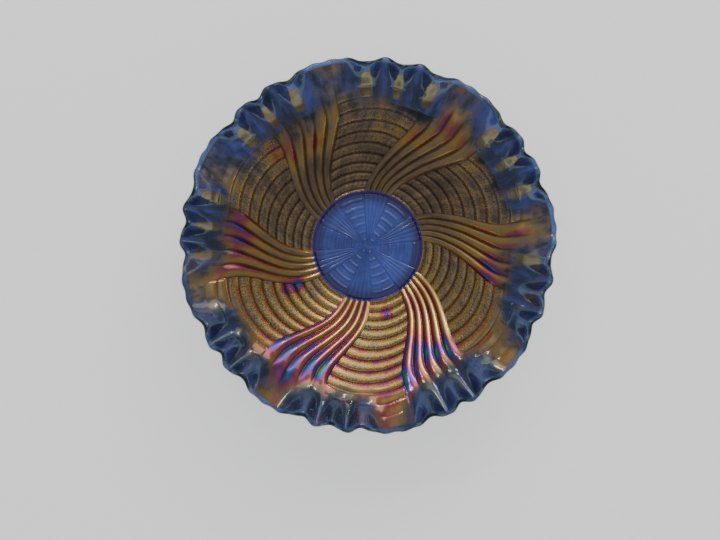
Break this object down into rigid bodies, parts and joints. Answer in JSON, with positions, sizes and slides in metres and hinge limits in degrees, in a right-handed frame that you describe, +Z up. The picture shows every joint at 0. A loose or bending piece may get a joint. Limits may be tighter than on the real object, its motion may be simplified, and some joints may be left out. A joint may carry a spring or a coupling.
{
  "type": "ruffled iridescent glass bowl",
  "caption": "Shallow round pressed-glass bowl with swirled ribbons and rippled panels inside, a medallion in the well, a crimped ruffled edge and a collar base to stand on.",
  "frame": {"origin": "centre of the foot ring, on the surface that the bowl stands on", "axes": "+Z up along the bowl's axis, +X through the broad lobe nearest to a ribbon's outer end"},
  "size_m": [0.2249, 0.2246, 0.0578],
  "materials": {
    "blue_medallion": "cobalt glass, clear of lustre, gloss",
    "violet_foot": "cobalt glass seen edge on, gloss",
    "blue_rim": "cobalt glass with a thin grey-gold iridescent film, gloss",
    "lustre_bronze": "cobalt glass under a bronze iridescent film, gloss",
    "lustre_gold": "cobalt glass under a gold and rose iridescent film, gloss",
    "lustre_olive": "cobalt glass under an olive-gold iridescent film, finely stippled"
  },
  "bodies": {
    "root": {"collar_base": "violet_foot", "well_floor": "blue_medallion", "bowl_wall": "lustre_bronze", "ruffled_rim": "blue_rim", "medallion_rays": "blue_medallion", "medallion_ripples": "blue_medallion", "ribbon_1": "lustre_gold", "ribbon_2": "lustre_gold", "ribbon_3": "lustre_gold", "ribbon_4": "lustre_gold", "ribbon_5": "lustre_gold", "ribbon_6": "lustre_gold", "ripples_1": "lustre_olive", "ripples_2": "lustre_olive", "ripples_3": "lustre_olive", "ripples_4": "lustre_olive", "ripples_5": "lustre_olive", "ripples_6": "lustre_olive"}
  },
  "joints": []
}
